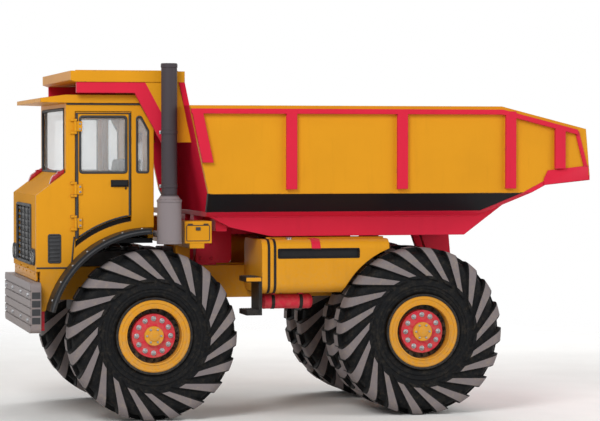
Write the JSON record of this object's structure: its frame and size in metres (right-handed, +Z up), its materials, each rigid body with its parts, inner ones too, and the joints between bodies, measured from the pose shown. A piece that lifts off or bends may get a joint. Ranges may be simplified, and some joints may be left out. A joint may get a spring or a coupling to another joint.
{
  "type": "rigid dump truck",
  "caption": "Off-highway dump truck with steered front wheels, twin rear wheels, a glazed cab with opening doors, and a ribbed tipping bed whose canopy shelters the cab.",
  "frame": {"origin": "bottom centre of the bounding box, on the ground", "axes": "+Z up, +X along the length towards the tail, so the truck faces -X and its left side faces -Y"},
  "size_m": [6.85, 3.5, 4.26],
  "materials": {
    "yellow_paint": "satin enamel",
    "red_paint": "satin enamel",
    "black_paint": "satin",
    "grey_paint": "satin",
    "cast": "rough",
    "rod_steel": "polished",
    "tyre": "matte",
    "glass": "clear",
    "lamp_clear": "clear",
    "lamp_red": "gloss",
    "trim": "matte",
    "seat": "matte"
  },
  "bodies": {
    "chassis": {"frame": "yellow_paint", "nose": "yellow_paint", "cab_side_left": "yellow_paint", "cab_side_right": "yellow_paint", "cab_front": "yellow_paint", "cab_rear": "yellow_paint", "cab_roof": "yellow_paint", "side_boxes": "yellow_paint", "side_tanks": "yellow_paint", "bumper_brackets": "red_paint", "air_tank": "red_paint", "mudguards": "black_paint", "front_axle": "black_paint", "rear_axle": "black_paint", "grille": "black_paint", "cab_floor": "black_paint", "steps": "black_paint", "bumper": "grey_paint", "exhaust": "grey_paint", "engine": "cast", "cab_glass": "glass", "headlamps": "lamp_clear", "red_lamps": "lamp_red", "dashboard": "trim", "seats": "seat"},
    "door_left": {"door_left": "yellow_paint", "door_glass_left": "glass"},
    "door_right": {"door_right": "yellow_paint", "door_glass_right": "glass"},
    "knuckle_left": {"knuckle_left": "black_paint"},
    "knuckle_right": {"knuckle_right": "black_paint"},
    "wheel_front_left": {"tyre_front_left": "tyre", "rim_front_left": "yellow_paint", "disc_front_left": "red_paint"},
    "wheel_front_right": {"tyre_front_right": "tyre", "rim_front_right": "yellow_paint", "disc_front_right": "red_paint"},
    "wheel_rear_left": {"tyres_rear_left": "tyre", "rim_rear_left": "yellow_paint", "disc_rear_left": "red_paint"},
    "wheel_rear_right": {"tyres_rear_right": "tyre", "rim_rear_right": "yellow_paint", "disc_rear_right": "red_paint"},
    "bed": {"bed_floor": "yellow_paint", "bed_side_left": "yellow_paint", "bed_side_right": "yellow_paint", "bed_canopy": "yellow_paint", "bed_ribs": "red_paint", "bed_bolsters": "red_paint", "bed_front": "red_paint", "bed_chines": "black_paint"},
    "hoist_barrels": {"hoist_barrels": "black_paint"},
    "hoist_rods": {"hoist_rods": "rod_steel"}
  },
  "joints": [
    {"name": "steer_left", "type": "hinge", "parent": "chassis", "child": "knuckle_left", "pos_m": [-1.975, -0.93, 1.02], "axis": [0, 0, 1], "range_deg": [-28, 28]},
    {"name": "steer_right", "type": "hinge", "parent": "chassis", "child": "knuckle_right", "pos_m": [-1.975, 0.93, 1.02], "axis": [0, 0, 1], "range_deg": [-28, 28]},
    {"name": "spin_front_left", "type": "hinge", "parent": "knuckle_left", "child": "wheel_front_left", "pos_m": [-1.975, -1.27, 1.02], "axis": [0, 1, 0], "continuous": true},
    {"name": "spin_front_right", "type": "hinge", "parent": "knuckle_right", "child": "wheel_front_right", "pos_m": [-1.975, 1.27, 1.02], "axis": [0, 1, 0], "continuous": true},
    {"name": "spin_rear_left", "type": "hinge", "parent": "chassis", "child": "wheel_rear_left", "pos_m": [1.325, -1.045, 1.02], "axis": [0, 1, 0], "continuous": true},
    {"name": "spin_rear_right", "type": "hinge", "parent": "chassis", "child": "wheel_rear_right", "pos_m": [1.325, 1.045, 1.02], "axis": [0, 1, 0], "continuous": true},
    {"name": "door_left", "type": "hinge", "parent": "chassis", "child": "door_left", "pos_m": [-2.861, -1.17, 2.8], "axis": [0, 0, -1], "range_deg": [0, 70]},
    {"name": "door_right", "type": "hinge", "parent": "chassis", "child": "door_right", "pos_m": [-2.861, 1.17, 2.8], "axis": [0, 0, 1], "range_deg": [0, 70]},
    {"name": "bed_tilt", "type": "hinge", "parent": "chassis", "child": "bed", "pos_m": [1.975, 0, 1.7], "axis": [0, 1, 0], "range_deg": [0, 48]},
    {"name": "hoist_swing", "type": "hinge", "parent": "chassis", "child": "hoist_barrels", "pos_m": [0.225, 0, 1.45], "axis": [0, 1, 0], "range_deg": [0, 6.5]},
    {"name": "hoist_stroke", "type": "slide", "parent": "hoist_barrels", "child": "hoist_rods", "axis": [0.774, 0, 0.6332], "range_m": [0, 0.75]}
  ],
  "couplings": [
    {"joint": "steer_right", "follows": "steer_left", "ratio": 1},
    {"joint": "hoist_swing", "follows": "bed_tilt", "ratio": 0.125},
    {"joint": "hoist_stroke", "follows": "bed_tilt", "m_per_rad": 0.875}
  ]
}
